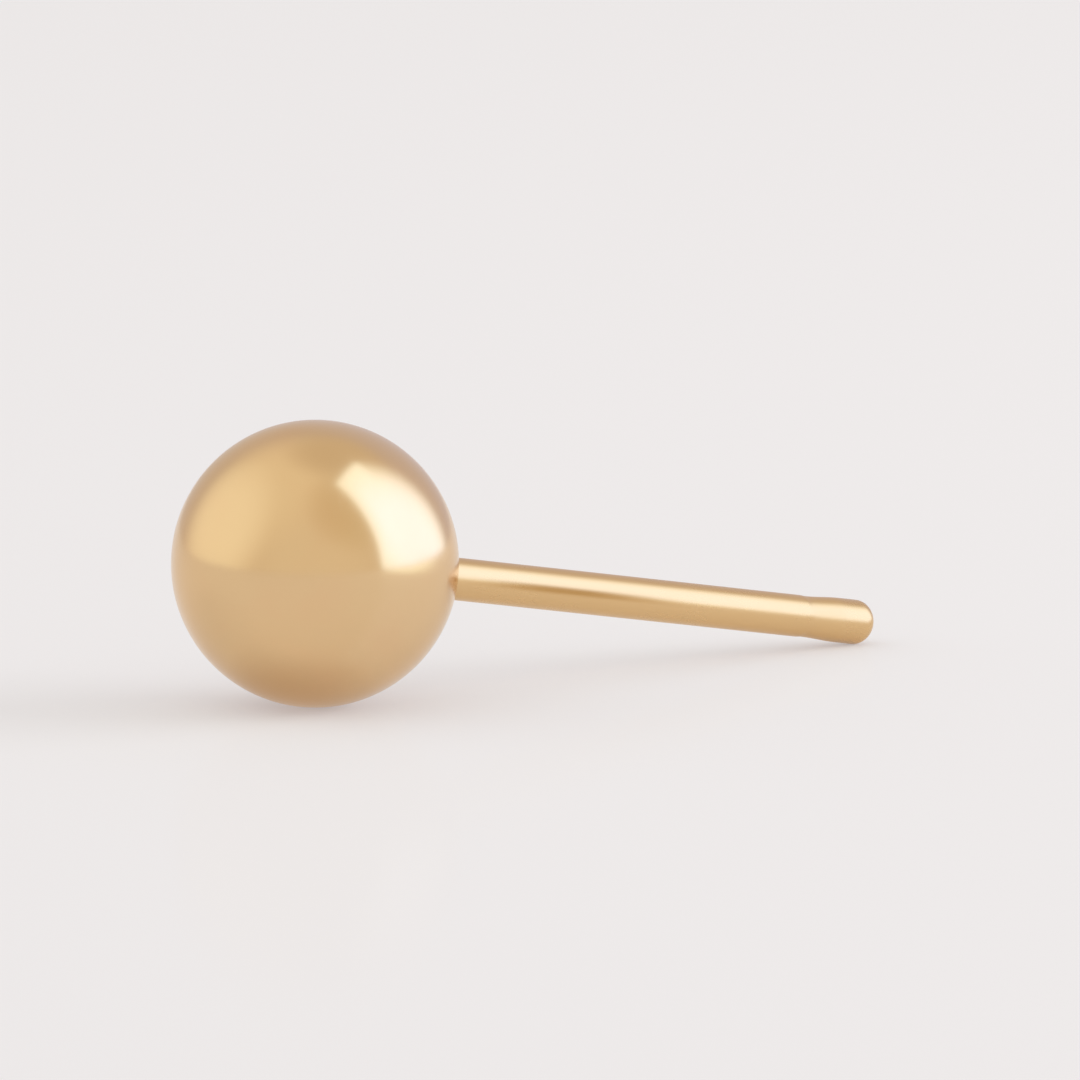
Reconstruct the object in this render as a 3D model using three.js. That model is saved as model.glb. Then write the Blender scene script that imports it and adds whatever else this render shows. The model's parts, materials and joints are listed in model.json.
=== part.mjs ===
// A ball stud earring: a round bead soldered to a straight ear post with a friction groove and a rounded tip.
// Millimetres, +Z up. It lies as it does by itself on a flat surface at z = 0, on the bead and the tip.
// The origin is the middle of its footprint, and the post points along +X, a little downwards.
import * as THREE from "three";

// Driving dimensions.
const BEAD_DIAMETER = 5.0;
const POST_DIAMETER = 0.75;
const POST_LENGTH = 10.0; // from the bead's surface to the end of the tip
const SOLDER_FILLET = 0.1; // radius of the solder between the bead and the post
const NECK_DIAMETER = 0.73; // the friction groove, where it is narrowest
const GROOVE_LENGTH = 0.95;
const NECK_PLACE = 0.15; // how far along the groove its neck is, as a part of the groove's length
const GROOVE_EASE = 0.2; // how far the groove's curves run level at each end, as a part of its length
const TIP_DIAMETER = 0.8;
const TIP_STRAIGHT = 0.38; // the tip's straight stretch, between the groove and the round end
const TIP_ROUND = 0.34; // how far the round end stands out past that stretch

// How finely the round forms are faceted.
const SEGMENTS = 48; // around the post's axis
const RESTING_BAND = THREE.MathUtils.degToRad(7.5); // the bead's band of facets that lies on the surface
const BANDS_TO_FRONT = 13; // from the resting band to the bead's front
const BANDS_TO_SOLDER = 9; // from the resting band to the fillet
const FILLET_BANDS = 3;
const GROOVE_BANDS = 6; // on each side of the neck
const TIP_BANDS = 5;

const STEEPEST_TILT = Math.PI / 6;
const HALVINGS = 50;
const SAME_POINT = 1e-6;

const beadRadius = BEAD_DIAMETER / 2;
const postRadius = POST_DIAMETER / 2;
const neckRadius = NECK_DIAMETER / 2;
const tipRadius = TIP_DIAMETER / 2;
const facetReach = Math.cos(Math.PI / SEGMENTS); // the middle of a facet, against its corners

// The fillet's arc is centred at this distance from the axis, and touches the bead at this latitude.
const filletCentre = postRadius + SOLDER_FILLET;
const filletLatitude = Math.acos(filletCentre / (beadRadius + SOLDER_FILLET));

// Places along the post's axis, from the bead's centre.
const filletEnd = (beadRadius + SOLDER_FILLET) * Math.sin(filletLatitude);
const tipRoundStart = beadRadius + POST_LENGTH - TIP_ROUND;
const grooveEnd = tipRoundStart - TIP_STRAIGHT;
const grooveStart = grooveEnd - GROOVE_LENGTH;

// In every profile, a point's x is its distance from the post's axis, and its y is the place along the axis.
function arc(centreX, centreY, radiusX, radiusY, from, to, bands) {
  const clockwise = to < from;
  return new THREE.EllipseCurve(centreX, centreY, radiusX, radiusY, from, to, clockwise).getPoints(bands);
}

const beadArc = (from, to, bands) => arc(0, 0, beadRadius, beadRadius, from, to, bands);

const filletArc = () =>
  arc(filletCentre, filletEnd, SOLDER_FILLET, SOLDER_FILLET, filletLatitude + Math.PI, Math.PI, FILLET_BANDS);

// One side of the groove: an S that leaves its start and meets its end in line with the axis.
function grooveSide(fromRadius, fromPlace, toRadius, toPlace) {
  const ease = GROOVE_LENGTH * GROOVE_EASE;
  return new THREE.CubicBezierCurve(
    new THREE.Vector2(fromRadius, fromPlace),
    new THREE.Vector2(fromRadius, fromPlace + ease),
    new THREE.Vector2(toRadius, toPlace - ease),
    new THREE.Vector2(toRadius, toPlace),
  ).getPoints(GROOVE_BANDS);
}

function frictionGroove() {
  const neck = grooveStart + GROOVE_LENGTH * NECK_PLACE;
  return [
    ...grooveSide(postRadius, grooveStart, neckRadius, neck),
    ...grooveSide(neckRadius, neck, tipRadius, grooveEnd),
  ];
}

const roundTip = () => arc(0, tipRoundStart, tipRadius, TIP_ROUND, 0, Math.PI / 2, TIP_BANDS);

// How far the middle of a profile point's facets reaches below the bead's centre, with the post tilted down.
const reachBelow = (point, tilt) => point.x * facetReach * Math.cos(tilt) + point.y * Math.sin(tilt);

// The latitude of the bead's band that lies level when the post is tilted down.
const levelLatitude = (tilt) => Math.atan(Math.tan(tilt) / facetReach);

// The tilt at which the bead's level band and the tip touch the same surface.
function restingTilt() {
  const tip = roundTip();
  let low = 0;
  let high = STEEPEST_TILT;
  for (let halving = 0; halving < HALVINGS; halving += 1) {
    const tilt = (low + high) / 2;
    const beadEdge = levelLatitude(tilt) - RESTING_BAND / 2;
    const beadReach = reachBelow(beadArc(beadEdge, beadEdge, 1)[0], tilt);
    const tipReach = Math.max(...tip.map((point) => reachBelow(point, tilt)));
    if (tipReach < beadReach) low = tilt;
    else high = tilt;
  }
  return low;
}

// The whole profile, from the bead's front to the end of the tip. It starts and ends on the axis.
function studProfile(tilt) {
  const level = levelLatitude(tilt);
  const points = [
    ...beadArc(-Math.PI / 2, level - RESTING_BAND / 2, BANDS_TO_FRONT),
    ...beadArc(level + RESTING_BAND / 2, filletLatitude, BANDS_TO_SOLDER),
    ...filletArc(),
    ...frictionGroove(),
    ...roundTip(),
  ];
  const distinct = points.filter((point, i) => i === 0 || point.distanceTo(points[i - 1]) > SAME_POINT);
  distinct[0].x = 0;
  distinct[distinct.length - 1].x = 0;
  return distinct;
}

// The stud turned about its post's axis so that the middle of a facet is lowest, with the post along +X.
function ballStud(tilt) {
  const gold = new THREE.MeshStandardMaterial({ color: 0xd9b27c, roughness: 0.15, metalness: 1 });
  const turned = Math.PI / SEGMENTS;
  const stud = new THREE.Mesh(new THREE.LatheGeometry(studProfile(tilt), SEGMENTS, turned), gold);
  stud.name = "ball_stud";
  stud.rotation.z = -Math.PI / 2;
  return stud;
}

// Tilted until the bead and the tip both touch z = 0, with the middle of the footprint at the origin.
function layDown(stud, tilt) {
  const resting = new THREE.Group();
  resting.add(stud);
  resting.rotation.y = tilt;
  const box = new THREE.Box3().setFromObject(resting, true);
  resting.position.set(-(box.min.x + box.max.x) / 2, 0, -box.min.z);
  return resting;
}

const tilt = restingTilt();
const earring = new THREE.Group();
earring.add(layDown(ballStud(tilt), tilt));

export default earring;
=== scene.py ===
"""A polished gold ball stud earring, lying on a pale glossy surface in soft studio light."""

import json
import math

import bmesh
import bpy
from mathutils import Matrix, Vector


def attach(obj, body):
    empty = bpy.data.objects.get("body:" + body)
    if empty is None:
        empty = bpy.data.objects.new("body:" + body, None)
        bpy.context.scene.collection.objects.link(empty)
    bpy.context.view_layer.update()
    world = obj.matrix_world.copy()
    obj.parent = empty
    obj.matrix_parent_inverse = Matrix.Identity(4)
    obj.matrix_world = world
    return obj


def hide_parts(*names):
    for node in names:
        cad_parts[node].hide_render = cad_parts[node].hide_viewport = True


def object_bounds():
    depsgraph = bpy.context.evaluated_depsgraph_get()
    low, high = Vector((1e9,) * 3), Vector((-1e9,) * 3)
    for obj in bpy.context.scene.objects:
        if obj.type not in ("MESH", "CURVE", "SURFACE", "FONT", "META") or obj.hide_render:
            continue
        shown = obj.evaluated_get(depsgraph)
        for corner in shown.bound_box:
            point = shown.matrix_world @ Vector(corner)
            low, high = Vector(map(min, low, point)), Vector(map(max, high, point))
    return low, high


bl_info = {
    "name": "Ball Stud Earring",
    "version": (1, 0, 0),
    "blender": (4, 5, 0),
    "location": "View3D > Sidebar > Earring",
    "description": "A gold bead on an ear post, with its surface, lights and camera",
    "category": "Add Mesh",
}

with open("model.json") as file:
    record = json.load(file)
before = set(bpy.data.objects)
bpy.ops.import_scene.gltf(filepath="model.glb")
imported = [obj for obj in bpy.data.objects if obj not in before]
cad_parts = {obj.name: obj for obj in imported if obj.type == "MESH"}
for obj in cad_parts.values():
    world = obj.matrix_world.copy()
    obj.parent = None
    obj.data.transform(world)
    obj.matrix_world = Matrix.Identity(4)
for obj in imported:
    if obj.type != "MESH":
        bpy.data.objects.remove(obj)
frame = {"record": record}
CAD_LOW, CAD_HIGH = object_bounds()

MM = 0.001
EAR_POST = next(m for m in frame["record"]["mounts"] if m["name"] == "ear_post")

# Points of the turned profile that lie closer than this are one point.
WELD_DISTANCE = 1e-7

# The stretches of the stud's profile, from the bead's front to the tip's end, with the rings in each.
RINGS = {
    "bead": 110,
    "fillet": 10,
    "shaft": 40,
    "narrowing": 16,
    "widening": 20,
    "straight": 6,
    "dome": 22,
}


# ---------------------------------------------------------------- sizes and finishes


class StudSizes(bpy.types.PropertyGroup):
    """The stud's sizes."""

    bead_diameter: bpy.props.FloatProperty(
        name="Bead diameter",
        description="Across the round bead",
        default=round((CAD_HIGH.y - CAD_LOW.y) / MM, 1) * MM,
        unit="LENGTH",
    )
    post_diameter: bpy.props.FloatProperty(
        name="Post diameter",
        description="Across the straight post",
        default=2 * EAR_POST["dims"]["r_mm"] * MM,
        unit="LENGTH",
    )
    post_length: bpy.props.FloatProperty(
        name="Post length",
        description="From the bead's surface to the end of the tip",
        default=EAR_POST["dims"]["length_mm"] * MM,
        unit="LENGTH",
    )
    solder_fillet: bpy.props.FloatProperty(
        name="Solder fillet",
        description="Radius of the solder between the bead and the post",
        default=0.1 * MM,
        unit="LENGTH",
    )
    neck_diameter: bpy.props.FloatProperty(
        name="Neck diameter",
        description="Across the friction groove where it is narrowest",
        default=0.73 * MM,
        unit="LENGTH",
    )
    groove_length: bpy.props.FloatProperty(
        name="Groove length",
        description="Along the post from the start of the groove to the tip",
        default=0.95 * MM,
        unit="LENGTH",
    )
    neck_place: bpy.props.FloatProperty(
        name="Neck place",
        description="Where the groove is narrowest, as a share of its length",
        default=0.15,
        subtype="FACTOR",
        min=0.0,
        max=1.0,
    )
    tip_diameter: bpy.props.FloatProperty(
        name="Tip diameter",
        description="Across the tip, past the groove",
        default=0.8 * MM,
        unit="LENGTH",
    )
    tip_straight: bpy.props.FloatProperty(
        name="Tip straight",
        description="The tip's straight stretch, before its round end",
        default=0.38 * MM,
        unit="LENGTH",
    )
    tip_round: bpy.props.FloatProperty(
        name="Tip round",
        description="How far the round end stands out",
        default=0.34 * MM,
        unit="LENGTH",
    )
    sides: bpy.props.IntProperty(
        name="Sides",
        description="Faces around the post's axis",
        default=192,
        min=24,
    )


class StudFinish(bpy.types.PropertyGroup):
    """The gold's colours and polish."""

    gold: bpy.props.FloatVectorProperty(
        name="Gold",
        description="The polished gold",
        default=(0.785, 0.55, 0.30),
        subtype="COLOR",
    )
    wire_gold: bpy.props.FloatVectorProperty(
        name="Wire gold",
        description="The post's slightly yellower gold",
        default=(0.745, 0.495, 0.235),
        subtype="COLOR",
    )
    rosy_gold: bpy.props.FloatVectorProperty(
        name="Rosy gold",
        description="The warmer patches that handling leaves on the gold",
        default=(0.785, 0.535, 0.29),
        subtype="COLOR",
    )
    solder: bpy.props.FloatVectorProperty(
        name="Solder",
        description="The paler solder around the foot of the post",
        default=(0.765, 0.54, 0.27),
        subtype="COLOR",
    )
    bead_roughness: bpy.props.FloatProperty(
        name="Bead roughness",
        description="Roughness of the polished bead",
        default=0.17,
        subtype="FACTOR",
    )
    post_roughness: bpy.props.FloatProperty(
        name="Post roughness",
        description="Roughness of the drawn and polished wire",
        default=0.27,
        subtype="FACTOR",
    )
    waviness: bpy.props.FloatProperty(
        name="Waviness",
        description="Height of the broad waves that hand polishing leaves",
        default=0.003 * MM,
        unit="LENGTH",
    )


class StageSettings(bpy.types.PropertyGroup):
    """The surface, the light and the camera."""

    surface: bpy.props.FloatVectorProperty(
        name="Surface",
        description="The pale surface that the earring lies on",
        default=(0.57, 0.57, 0.59),
        subtype="COLOR",
    )
    surface_glow: bpy.props.FloatVectorProperty(
        name="Surface glow",
        description="The light that comes up through the surface",
        default=(0.318, 0.316, 0.338),
        subtype="COLOR",
    )
    sky: bpy.props.FloatVectorProperty(
        name="Sky",
        description="The soft light from all round",
        default=(0.81, 0.74, 0.645),
        subtype="COLOR",
    )
    key_glow: bpy.props.FloatVectorProperty(
        name="Key glow",
        description="The middle of the large bright card at the right",
        default=(1.45, 1.8, 2.75),
        subtype="COLOR",
        max=20.0,
    )
    key_rim: bpy.props.FloatVectorProperty(
        name="Key rim",
        description="The warmer light near the edges of the bright card",
        default=(1.4, 1.64, 1.92),
        subtype="COLOR",
        max=20.0,
    )
    low_gleam: bpy.props.FloatVectorProperty(
        name="Low gleam",
        description="The yellower light that comes off the surface below the bright card",
        default=(1.4, 1.6, 1.6),
        subtype="COLOR",
        max=20.0,
    )
    gold_glint: bpy.props.FloatVectorProperty(
        name="Gold glint",
        description="The small gold card beside the post, which draws a darker line along it",
        default=(0.58, 0.45, 0.27),
        subtype="COLOR",
    )
    # Painted shade: a dim, warm card under the bead, seen only in the metal, which darkens the bead's
    # underside where the contact shade would show.
    painted_contact_shade: bpy.props.FloatVectorProperty(
        name="Under the bead",
        description="The dimmer, warmer light between the bead and the surface",
        default=(0.585, 0.485, 0.415),
        subtype="COLOR",
    )
    azimuth: bpy.props.FloatProperty(
        name="Azimuth",
        description="Which way the camera stands from the earring",
        default=math.radians(-37.3),
        subtype="ANGLE",
    )
    elevation: bpy.props.FloatProperty(
        name="Elevation",
        description="How far the camera looks down",
        default=math.radians(8.1),
        subtype="ANGLE",
    )
    distance: bpy.props.FloatProperty(
        name="Distance",
        description="From the camera to the earring",
        default=220 * MM,
        unit="LENGTH",
    )
    view_width: bpy.props.FloatProperty(
        name="View width",
        description="How wide a strip the camera sees at the earring",
        default=19 * MM,
        unit="LENGTH",
    )


# ---------------------------------------------------------------- nodes written as sums


class NodeSheet:
    """A node tree, and the one way in which nodes are added to it."""

    def __init__(self, tree):
        self.tree = tree

    def add(self, kind, settings=None, values=None):
        """Adds a node. Its settings are set first, then its sockets, each from a value or a link."""
        node = self.tree.nodes.new(kind)
        for name, value in (settings or {}).items():
            setattr(node, name, value)
        for name, value in (values or {}).items():
            if isinstance(value, Wire):
                value = value.socket
            if isinstance(value, bpy.types.NodeSocket):
                self.tree.links.new(value, node.inputs[name])
            else:
                node.inputs[name].default_value = value
        return node

    def blend(self, share, first, second):
        """A colour between two colours, as far as the share goes."""
        node = self.add(
            "ShaderNodeMix",
            {"data_type": "RGBA"},
            {"Factor": share, 6: first, 7: second},
        )
        return node.outputs[2]


class Wire:
    """A node's output, on which arithmetic adds Math nodes to its sheet."""

    def __init__(self, sheet, socket):
        self.sheet = sheet
        self.socket = socket

    def math(self, operation, *values):
        node = self.sheet.add("ShaderNodeMath", {"operation": operation}, dict(enumerate(values)))
        return Wire(self.sheet, node.outputs[0])

    def __add__(self, other):
        return self.math("ADD", self, other)

    def __radd__(self, other):
        return self.math("ADD", other, self)

    def __sub__(self, other):
        return self.math("SUBTRACT", self, other)

    def __rsub__(self, other):
        return self.math("SUBTRACT", other, self)

    def __mul__(self, other):
        return self.math("MULTIPLY", self, other)

    def __rmul__(self, other):
        return self.math("MULTIPLY", other, self)

    def __truediv__(self, other):
        return self.math("DIVIDE", self, other)

    def sine(self):
        return self.math("SINE", self)

    def cosine(self):
        return self.math("COSINE", self)

    def arccosine(self):
        return self.math("ARCCOSINE", self)

    def size(self):
        return self.math("ABSOLUTE", self)

    def at_most(self, other):
        return self.math("MINIMUM", self, other)

    def between(self, start, end, kind):
        node = self.sheet.add(
            "ShaderNodeMapRange",
            {"interpolation_type": kind, "clamp": True},
            {"Value": self, "From Min": start, "From Max": end},
        )
        return Wire(self.sheet, node.outputs[0])

    def progress(self, start, end):
        """0 before start, 1 after end, and even between them."""
        return self.between(start, end, "LINEAR")

    def eased(self, start=0.0, end=1.0):
        """0 before start, 1 after end, and smooth between them."""
        return self.between(start, end, "SMOOTHSTEP")


# ---------------------------------------------------------------- the stud's shape


def lying_tilt(bead, dome_place, tip, dome):
    """How far the post slopes down when the bead and the tip's round end touch the same surface."""
    tilt = 0.0
    for _ in range(8):
        tip_reach = math.hypot(tip * math.cos(tilt), dome * math.sin(tilt))
        tilt = math.asin((bead - tip_reach) / dome_place)
    return tilt


def stud_tree():
    """The tree that turns the stud's profile about the post's axis, tilts it and places it."""
    tree = bpy.data.node_groups.new("turned_stud", "GeometryNodeTree")
    tree.is_modifier = True
    lengths = (
        "Bead Radius",
        "Post Radius",
        "Post Length",
        "Solder Fillet",
        "Neck Radius",
        "Groove Length",
        "Tip Radius",
        "Tip Straight",
        "Tip Round",
        "Neck Place",
    )
    for name in lengths:
        tree.interface.new_socket(name, in_out="INPUT", socket_type="NodeSocketFloat")
    tree.interface.new_socket("Sides", in_out="INPUT", socket_type="NodeSocketInt")
    tree.interface.new_socket("Tilt", in_out="INPUT", socket_type="NodeSocketRotation")
    tree.interface.new_socket("Bead Centre", in_out="INPUT", socket_type="NodeSocketVector")
    tree.interface.new_socket("Finish", in_out="INPUT", socket_type="NodeSocketMaterial")
    tree.interface.new_socket("Stud", in_out="OUTPUT", socket_type="NodeSocketGeometry")

    sheet = NodeSheet(tree)
    given = sheet.add("NodeGroupInput").outputs
    bead, post, length, fillet, neck, groove, tip, straight, dome, neck_place = (
        Wire(sheet, given[name]) for name in lengths
    )

    # A flat grid, one row a ring, which is then rolled up: x counts the rings and y is the turn.
    rings = sum(RINGS.values())
    grid = sheet.add(
        "GeometryNodeMeshGrid",
        values={
            "Size X": float(rings),
            "Size Y": 1.0,
            "Vertices X": rings + 1,
            "Vertices Y": Wire(sheet, given["Sides"]) + 1,
        },
    )
    place = sheet.add("GeometryNodeInputPosition")
    split = sheet.add("ShaderNodeSeparateXYZ", values={"Vector": place.outputs[0]})
    ring = Wire(sheet, split.outputs["X"]) + rings / 2
    turn = Wire(sheet, split.outputs["Y"]) * (2 * math.pi)

    # How far each stretch of the profile has come at this ring.
    done = {}
    start = 0
    for name, count in RINGS.items():
        done[name] = ring.progress(float(start), float(start + count))
        start += count

    # The bead, up to the latitude where the solder touches it.
    solder_latitude = ((post + fillet) / (bead + fillet)).arccosine()
    latitude = done["bead"] * (solder_latitude + math.pi / 2) - math.pi / 2
    along = bead * latitude.sine()
    across = bead * latitude.cosine()

    # The solder's hollow arc, down to the post.
    left = solder_latitude * (1 - done["fillet"])
    along = along + fillet * (solder_latitude.sine() - left.sine())
    across = across - fillet * (left.cosine() - solder_latitude.cosine())

    # The straight post, the groove's two sides and the tip.
    fillet_end = (bead + fillet) * solder_latitude.sine()
    shaft = bead + length - dome - straight - groove - fillet_end
    along = along + shaft * done["shaft"]
    along = along + groove * (neck_place * done["narrowing"] + (1 - neck_place) * done["widening"])
    along = along + straight * done["straight"]
    across = across - (post - neck) * done["narrowing"].eased()
    across = across + (tip - neck) * done["widening"].eased()

    # The round end.
    closing = done["dome"] * (math.pi / 2)
    along = along + dome * closing.sine()
    across = across * closing.cosine()

    point = sheet.add(
        "ShaderNodeCombineXYZ",
        values={"X": along, "Y": across * turn.sine(), "Z": across * turn.cosine()},
    )
    rolled = sheet.add(
        "GeometryNodeSetPosition",
        values={"Geometry": grid.outputs["Mesh"], "Position": point.outputs[0]},
    )
    closed = sheet.add(
        "GeometryNodeMergeByDistance",
        values={"Geometry": rolled.outputs[0], "Distance": WELD_DISTANCE},
    )
    lying = sheet.add(
        "GeometryNodeTransform",
        values={
            "Geometry": closed.outputs[0],
            "Rotation": given["Tilt"],
            "Translation": given["Bead Centre"],
        },
    )
    smooth = sheet.add("GeometryNodeSetShadeSmooth", values={"Geometry": lying.outputs[0]})
    whole = sheet.add("GeometryNodeRealizeInstances", values={"Geometry": smooth.outputs[0]})
    finished = sheet.add(
        "GeometryNodeSetMaterial",
        values={"Geometry": whole.outputs[0], "Material": given["Finish"]},
    )
    sheet.add("NodeGroupOutput", values={"Stud": finished.outputs[0]})
    return tree


def mesh_from_tree(name, tree, inputs):
    """A piece whose plain mesh is what the tree makes of these inputs."""
    piece = bpy.data.objects.new(name, bpy.data.meshes.new(name))
    modifier = piece.modifiers.new(name, "NODES")
    modifier.node_group = tree
    for item in tree.interface.items_tree:
        if item.in_out == "INPUT":
            modifier[item.identifier] = inputs[item.name]
    bpy.context.scene.collection.objects.link(piece)
    bpy.context.view_layer.update()
    made = piece.evaluated_get(bpy.context.evaluated_depsgraph_get())
    mesh = bpy.data.meshes.new_from_object(made)
    piece.modifiers.remove(modifier)
    piece.data = mesh
    mesh.name = name
    return piece


# ---------------------------------------------------------------- the gold


GRAIN_HEIGHT = 0.00002 * MM
HAIRLINE_DEPTH = 0.00005 * MM


def polished_gold(finish, sizes, bead_centre, tilt):
    """Polished gold with faint waves, hairlines and smudges, paler and duller at the solder."""
    material = bpy.data.materials.new("polished_gold")
    material.use_nodes = True
    material.node_tree.nodes.clear()
    sheet = NodeSheet(material.node_tree)

    # The stud's own frame, in millimetres: x runs along the post from the bead's centre.
    here = sheet.add("ShaderNodeTexCoord")
    stud = sheet.add(
        "ShaderNodeMapping",
        {"vector_type": "TEXTURE"},
        {
            "Vector": here.outputs["Object"],
            "Location": bead_centre,
            "Rotation": (0, tilt, 0),
            "Scale": (MM, MM, MM),
        },
    ).outputs[0]
    split = sheet.add("ShaderNodeSeparateXYZ", values={"Vector": stud})
    along = Wire(sheet, split.outputs["X"])

    bead = sizes.bead_diameter / 2 / MM
    fillet = sizes.solder_fillet / MM
    tip_end = bead + sizes.post_length / MM
    groove_end = tip_end - (sizes.tip_round + sizes.tip_straight) / MM
    groove_start = groove_end - sizes.groove_length / MM

    def noise(scale, detail=2.0, vector=stud, distortion=0.0):
        node = sheet.add(
            "ShaderNodeTexNoise",
            values={"Vector": vector, "Scale": scale, "Detail": detail, "Distortion": distortion},
        )
        return Wire(sheet, node.outputs[0])

    def stretched(scale, rotation=(0.0, 0.0, 0.0)):
        node = sheet.add(
            "ShaderNodeMapping",
            values={"Vector": stud, "Rotation": rotation, "Scale": scale},
        )
        return node.outputs[0]

    on_post = along.eased(bead, bead + 2 * fillet)
    at_solder = 1 - (along - bead).size().eased(0.0, 2 * fillet)
    in_groove = along.eased(groove_start, groove_start + 0.2)
    in_groove = in_groove * (1 - along.eased(groove_end - 0.25, groove_end))

    # Hairlines: long thin ridges of stretched noise, in three directions, as a cloth leaves them.
    hairlines = 0.0
    for rotation in ((0.3, 0.5, 0.2), (1.2, -0.4, 1.9), (-0.7, 1.1, 2.6)):
        ridge = noise(1.0, 0.0, stretched((9.0, 0.25, 0.25), rotation))
        hairlines = hairlines + (1 - (ridge - 0.5).size().eased(0.0, 0.012))
    hairlines = hairlines.at_most(1.0) * noise(0.9).eased(0.45, 0.62) * (1 - on_post)

    drawing_lines = noise(1.0, 1.0, stretched((0.15, 12.0, 12.0))) * on_post
    smudges = noise(0.55, 3.0, distortion=0.4).eased(0.35, 0.7)
    waves = noise(0.8, 1.0)
    grain = noise(7.0, 2.0)

    colour = sheet.blend(smudges, (*finish.gold, 1), (*finish.rosy_gold, 1))
    colour = sheet.blend(on_post, colour, (*finish.wire_gold, 1))
    colour = sheet.blend(at_solder, colour, (*finish.solder, 1))
    roughness = (
        finish.bead_roughness
        + (finish.post_roughness - finish.bead_roughness) * on_post
        + 0.03 * smudges
        + 0.03 * (grain - 0.5)
        + 0.05 * hairlines
        + 0.08 * at_solder
        + 0.05 * in_groove
        + 0.06 * (drawing_lines - 0.5) * on_post
    )
    height = waves * finish.waviness + grain * GRAIN_HEIGHT - hairlines * HAIRLINE_DEPTH

    bump = sheet.add("ShaderNodeBump", values={"Strength": 1.0, "Distance": 1.0, "Height": height})
    shader = sheet.add(
        "ShaderNodeBsdfPrincipled",
        values={
            "Base Color": colour,
            "Metallic": 1.0,
            "Roughness": roughness,
            "Normal": bump.outputs[0],
        },
    )
    sheet.add("ShaderNodeOutputMaterial", values={"Surface": shader.outputs[0]})
    return material


class EARRING_OT_stud(bpy.types.Operator):
    """Make the bead, its post, the solder between them and the grooved tip, as one soldered piece"""

    bl_idname = "earring.stud"
    bl_label = "Gold stud"

    def execute(self, context):
        sizes = context.scene.stud_sizes
        bead = sizes.bead_diameter / 2
        tip = sizes.tip_diameter / 2
        dome_place = bead + sizes.post_length - sizes.tip_round
        tilt = lying_tilt(bead, dome_place, tip, sizes.tip_round)
        bead_centre = Vector((CAD_LOW.x + bead, 0, bead))
        gold = polished_gold(context.scene.stud_finish, sizes, bead_centre, tilt)
        stud = mesh_from_tree(
            "polished_stud",
            stud_tree(),
            {
                "Bead Radius": bead,
                "Post Radius": sizes.post_diameter / 2,
                "Post Length": sizes.post_length,
                "Solder Fillet": sizes.solder_fillet,
                "Neck Radius": sizes.neck_diameter / 2,
                "Groove Length": sizes.groove_length,
                "Neck Place": sizes.neck_place,
                "Tip Radius": tip,
                "Tip Straight": sizes.tip_straight,
                "Tip Round": sizes.tip_round,
                "Sides": sizes.sides,
                "Tilt": (0, tilt, 0),
                "Bead Centre": bead_centre,
                "Finish": gold,
            },
        )
        if not stud.data.polygons:
            raise RuntimeError("the stud's tree made no faces")
        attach(stud, "root")
        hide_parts("ball_stud")
        return {"FINISHED"}


# ---------------------------------------------------------------- the stage


SURFACE_REACH = 1.5
SURFACE_GLOSS = 0.04
SURFACE_ROUGHNESS = 0.14

# How far the two cards that lie on the surface stand above it.
GLEAM_HEIGHT = 0.00005
PAINTED_SHADE_HEIGHT = 0.00002

# The lamp: its place from the bead's foot (right, towards, up) and its size in metres, and its power.
LAMP_PLACE = (0.26, -0.02, 0.10)
LAMP_WIDTH = 0.22
LAMP_HEIGHT = 0.10
LAMP_WATTS = 0.30
LAMP_COLOUR = (0.95, 0.97, 1.0)


class Stand:
    """Directions and places told from the bead as one looks at it: right, towards the viewer, and up."""

    def __init__(self, azimuth, origin):
        self.right = Vector((math.cos(azimuth), math.sin(azimuth), 0))
        self.towards = Vector((math.sin(azimuth), -math.cos(azimuth), 0))
        self.origin = origin

    def direction(self, right, towards, up):
        return (self.right * right + self.towards * towards + Vector((0, 0, up))).normalized()

    def point(self, right, towards, up):
        return self.origin + self.right * right + self.towards * towards + Vector((0, 0, up))


# The cards: name, corners (right, towards, up) from the bead's foot in metres, the colours of the rim
# and of the middle, and the share of the card over which its left, right, bottom and top edges fade.
CARDS = (
    (
        "key_card",
        ((0.190, 0.138, 0.0), (0.196, -0.222, 0.0), (0.0725, -0.075, 0.181), (0.0475, 0.056, 0.218)),
        "key_rim",
        "key_glow",
        (0.12, 0.26, 0.03, 0.05),
    ),
    (
        "gold_card",
        (
            (0.0034, -0.0011, 0.00145),
            (0.0078, -0.0045, 0.00056),
            (0.0078, -0.0045, 0.00146),
            (0.0034, -0.0011, 0.00247),
        ),
        "gold_glint",
        "gold_glint",
        (0.4, 0.5, 0.35, 0.35),
    ),
    (
        "gleam_card",
        (
            (0.072, 0.044, GLEAM_HEIGHT),
            (0.0165, -0.0093, GLEAM_HEIGHT),
            (0.150, -0.090, GLEAM_HEIGHT),
            (0.190, 0.138, GLEAM_HEIGHT),
        ),
        "low_gleam",
        "low_gleam",
        (0.1, 0.45, 0.05, 0.02),
    ),
    # The painted shade card: a dim card just above the surface under the bead, seen only in the metal,
    # which paints the contact shade into the bead's underside.
    (
        "painted_shade_card",
        (
            (-0.0026, 0.0029, PAINTED_SHADE_HEIGHT),
            (0.0018, 0.0029, PAINTED_SHADE_HEIGHT),
            (0.0018, -0.0015, PAINTED_SHADE_HEIGHT),
            (-0.0026, -0.0015, PAINTED_SHADE_HEIGHT),
        ),
        "painted_contact_shade",
        "painted_contact_shade",
        (0.5, 0.5, 0.5, 0.5),
    ),
)


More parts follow.
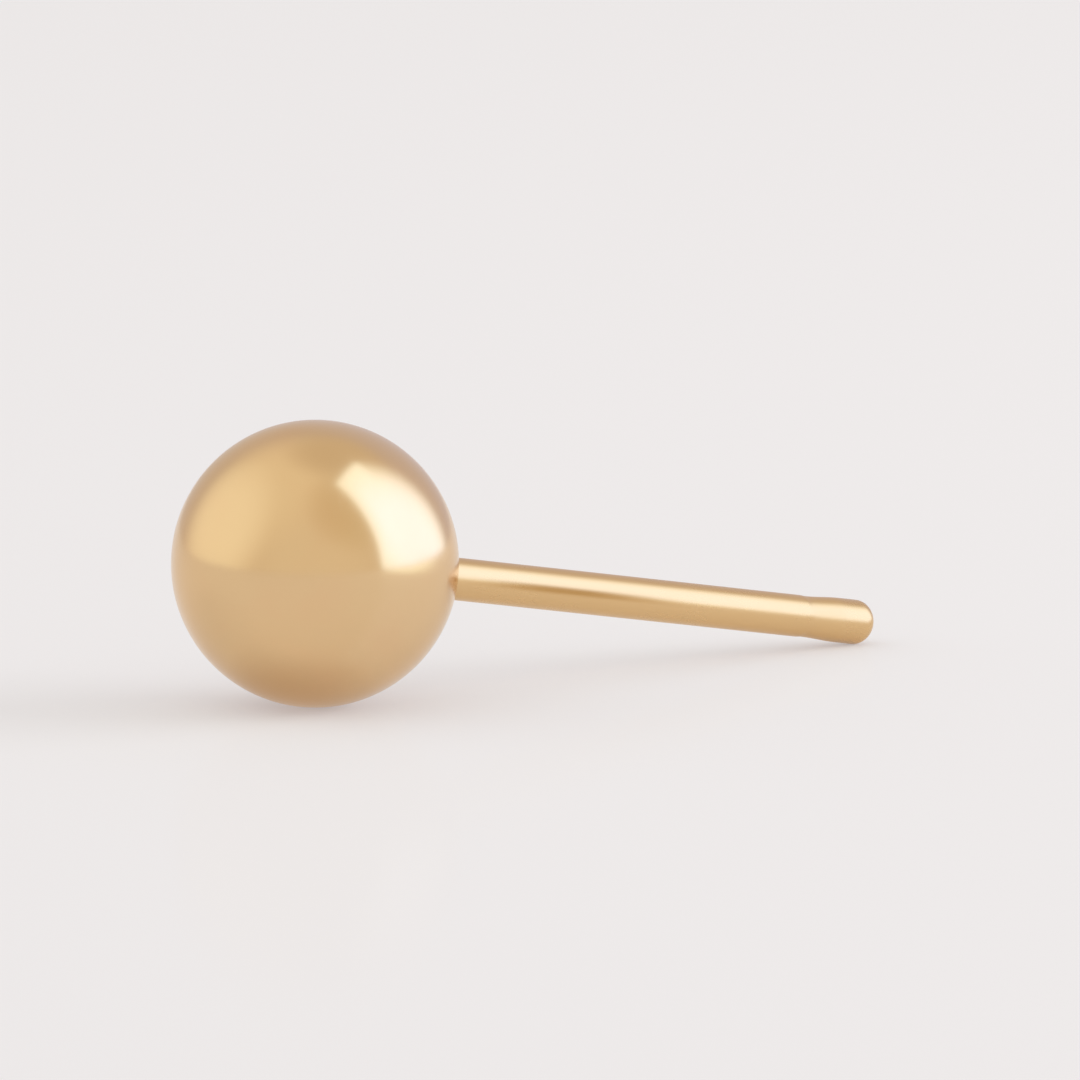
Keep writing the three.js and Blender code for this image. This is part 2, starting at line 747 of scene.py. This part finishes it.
def glowing_card(name, corners, rim, middle, fades):
    """A card that shows only in the polished metal, and shines on the side that faces the earring."""
    mesh = bpy.data.meshes.new(name)
    work = bmesh.new()
    face = work.faces.new([work.verts.new(corner) for corner in corners])
    card_map = work.loops.layers.uv.new("card")
    for loop, place in zip(face.loops, ((0, 0), (1, 0), (1, 1), (0, 1))):
        loop[card_map].uv = place
    face.normal_update()
    if face.normal.dot(Vector((0, 0, CAD_HIGH.z / 2)) - face.calc_center_median()) < 0:
        face.normal_flip()
    work.to_mesh(mesh)
    work.free()

    material = bpy.data.materials.new(name)
    material.use_nodes = True
    material.node_tree.nodes.clear()
    sheet = NodeSheet(material.node_tree)
    place = sheet.add("ShaderNodeUVMap", {"uv_map": "card"})
    split = sheet.add("ShaderNodeSeparateXYZ", values={"Vector": place.outputs[0]})
    across = Wire(sheet, split.outputs["X"])
    up = Wire(sheet, split.outputs["Y"])
    left, right, bottom, top = fades
    behind = Wire(sheet, sheet.add("ShaderNodeNewGeometry").outputs["Backfacing"])
    shown = across.eased(0.0, left) * (1 - across).eased(0.0, right) * (1 - behind)
    shown = shown * up.eased(0.0, bottom) * (1 - up).eased(0.0, top)
    clear = sheet.add("ShaderNodeBsdfTransparent")
    inside = across.eased(0.0, 0.4) * (1 - across).eased(0.0, 0.4) * (1 - up).eased(0.0, 0.5)
    colour = sheet.blend(inside, (*rim, 1), (*middle, 1))
    glow = sheet.add("ShaderNodeEmission", values={"Color": colour})
    mixed = sheet.add(
        "ShaderNodeMixShader",
        values={0: shown, 1: clear.outputs[0], 2: glow.outputs[0]},
    )
    sheet.add("ShaderNodeOutputMaterial", values={"Surface": mixed.outputs[0]})

    card = bpy.data.objects.new(name, mesh)
    card.data.materials.append(material)
    bpy.context.scene.collection.objects.link(card)
    card.visible_camera = False
    card.visible_diffuse = False
    card.visible_shadow = False


def pale_surface(stage):
    """A wide pale surface, lit softly from below as well, with a faint gloss."""
    mesh = bpy.data.meshes.new("surface")
    work = bmesh.new()
    bmesh.ops.create_grid(work, x_segments=1, y_segments=1, size=SURFACE_REACH)
    work.to_mesh(mesh)
    work.free()
    material = bpy.data.materials.new("pale_gloss")
    material.use_nodes = True
    material.node_tree.nodes.clear()
    sheet = NodeSheet(material.node_tree)
    matt = sheet.add("ShaderNodeBsdfDiffuse", values={"Color": (*stage.surface, 1)})
    glow = sheet.add("ShaderNodeEmission", values={"Color": (*stage.surface_glow, 1)})
    lit = sheet.add("ShaderNodeAddShader", values={0: matt.outputs[0], 1: glow.outputs[0]})
    gloss = sheet.add("ShaderNodeBsdfGlossy", values={"Roughness": SURFACE_ROUGHNESS})
    mixed = sheet.add(
        "ShaderNodeMixShader",
        values={0: SURFACE_GLOSS, 1: lit.outputs[0], 2: gloss.outputs[0]},
    )
    sheet.add("ShaderNodeOutputMaterial", values={"Surface": mixed.outputs[0]})
    surface = bpy.data.objects.new("surface", mesh)
    surface.data.materials.append(material)
    bpy.context.scene.collection.objects.link(surface)


# Patches of the sky: the way to each one's middle (right, towards, up), how far its full colour and its
# faded edge reach in degrees, and its colour. Later ones lie over earlier ones.
SKY_PATCHES = (
    ((0.0, -1.0, 0.3), 25, 75, (0.68, 0.62, 0.59)),
    ((0.5, -0.85, 0.2), 10, 45, (0.67, 0.63, 0.69)),
    ((0.0, 1.0, 0.1), 15, 60, (0.87, 0.83, 0.75)),
    ((-0.5, 0.1, 0.85), 15, 60, (0.93, 0.89, 0.79)),
    ((-0.93, 0.0, 0.36), 12, 50, (1.08, 1.08, 1.02)),
    ((0.45, 0.5, 0.74), 5, 38, (0.78, 0.71, 0.57)),
    ((0.2, -0.3, 0.93), 5, 32, (0.74, 0.67, 0.57)),
    ((0.0, 0.0, -1.0), 85, 92, (0.84, 0.815, 0.815)),
)


def soft_sky(stage, stand):
    """Pale light from all round, brighter at the left and darker behind, in soft patches."""
    world = bpy.data.worlds.new("soft_sky")
    bpy.context.scene.world = world
    world.use_nodes = True
    world.node_tree.nodes.clear()
    sheet = NodeSheet(world.node_tree)
    looking = sheet.add("ShaderNodeTexCoord").outputs["Generated"]
    colour = (*stage.sky, 1)
    for direction, inner, outer, patch in SKY_PATCHES:
        facing = sheet.add(
            "ShaderNodeVectorMath",
            {"operation": "DOT_PRODUCT"},
            {0: looking, 1: stand.direction(*direction)},
        )
        share = Wire(sheet, facing.outputs["Value"]).eased(
            math.cos(math.radians(outer)), math.cos(math.radians(inner))
        )
        colour = sheet.blend(share, colour, (*patch, 1))
    glow = sheet.add("ShaderNodeBackground", values={"Color": colour})
    sheet.add("ShaderNodeOutputWorld", values={"Surface": glow.outputs[0]})


def window_light(stand):
    """The big lamp at the right that lights the surface and casts the earring's soft shadow."""
    lamp = bpy.data.lights.new("window", "AREA")
    lamp.shape = "RECTANGLE"
    lamp.size = LAMP_WIDTH
    lamp.size_y = LAMP_HEIGHT
    lamp.energy = LAMP_WATTS
    lamp.color = LAMP_COLOUR
    light = bpy.data.objects.new("window", lamp)
    light.location = stand.point(*LAMP_PLACE)
    light.rotation_mode = "QUATERNION"
    light.rotation_quaternion = (stand.origin - light.location).to_track_quat("-Z", "Y")
    bpy.context.scene.collection.objects.link(light)
    light.visible_camera = False
    light.visible_glossy = False


def studio_camera(stage, target):
    """The camera, aimed at the middle of the earring, with a strip of the view's width in its frame."""
    lens = bpy.data.cameras.new("camera")
    lens.sensor_width = 36.0
    lens.lens = lens.sensor_width * stage.distance / stage.view_width
    lens.clip_start = 0.01
    lens.clip_end = 10.0
    camera = bpy.data.objects.new("camera", lens)
    back = Stand(stage.azimuth, target).direction(
        0, math.cos(stage.elevation), math.sin(stage.elevation)
    )
    camera.location = target + back * stage.distance
    camera.rotation_mode = "QUATERNION"
    camera.rotation_quaternion = (-back).to_track_quat("-Z", "Y")
    bpy.context.scene.collection.objects.link(camera)
    bpy.context.scene.camera = camera


class EARRING_OT_stage(bpy.types.Operator):
    """Make the pale surface, the soft light and the camera"""

    bl_idname = "earring.stage"
    bl_label = "Stage"

    def execute(self, context):
        scene = context.scene
        stage = scene.stage_settings
        bead = scene.stud_sizes.bead_diameter / 2
        stand = Stand(stage.azimuth, Vector((CAD_LOW.x + bead, 0, 0)))
        pale_surface(stage)
        soft_sky(stage, stand)
        window_light(stand)
        for name, corners, rim, middle, fades in CARDS:
            glowing_card(
                name,
                [stand.point(*corner) for corner in corners],
                getattr(stage, rim),
                getattr(stage, middle),
                fades,
            )
        studio_camera(stage, (CAD_LOW + CAD_HIGH) / 2)
        scene.view_settings.view_transform = "Standard"
        scene.view_settings.look = "None"
        return {"FINISHED"}


class EARRING_PT_panel(bpy.types.Panel):
    """The earring's sizes, finish and stage, and the buttons that make them"""

    bl_label = "Ball Stud Earring"
    bl_idname = "EARRING_PT_panel"
    bl_space_type = "VIEW_3D"
    bl_region_type = "UI"
    bl_category = "Earring"

    def draw(self, context):
        scene = context.scene
        for title, group, operator in (
            ("Stud", scene.stud_sizes, EARRING_OT_stud),
            ("Gold", scene.stud_finish, None),
            ("Stage", scene.stage_settings, EARRING_OT_stage),
        ):
            box = self.layout.box()
            box.label(text=title)
            for name in group.__annotations__:
                box.prop(group, name)
            if operator:
                box.operator(operator.bl_idname)


CLASSES = (
    StudSizes,
    StudFinish,
    StageSettings,
    EARRING_OT_stud,
    EARRING_OT_stage,
    EARRING_PT_panel,
)


def register():
    for cls in CLASSES:
        bpy.utils.register_class(cls)
    bpy.types.Scene.stud_sizes = bpy.props.PointerProperty(type=StudSizes)
    bpy.types.Scene.stud_finish = bpy.props.PointerProperty(type=StudFinish)
    bpy.types.Scene.stage_settings = bpy.props.PointerProperty(type=StageSettings)


def unregister():
    del bpy.types.Scene.stage_settings
    del bpy.types.Scene.stud_finish
    del bpy.types.Scene.stud_sizes
    for cls in reversed(CLASSES):
        bpy.utils.unregister_class(cls)


def main():
    register()
    bpy.ops.earring.stud()
    bpy.ops.earring.stage()


if __name__ == "__main__":
    main()
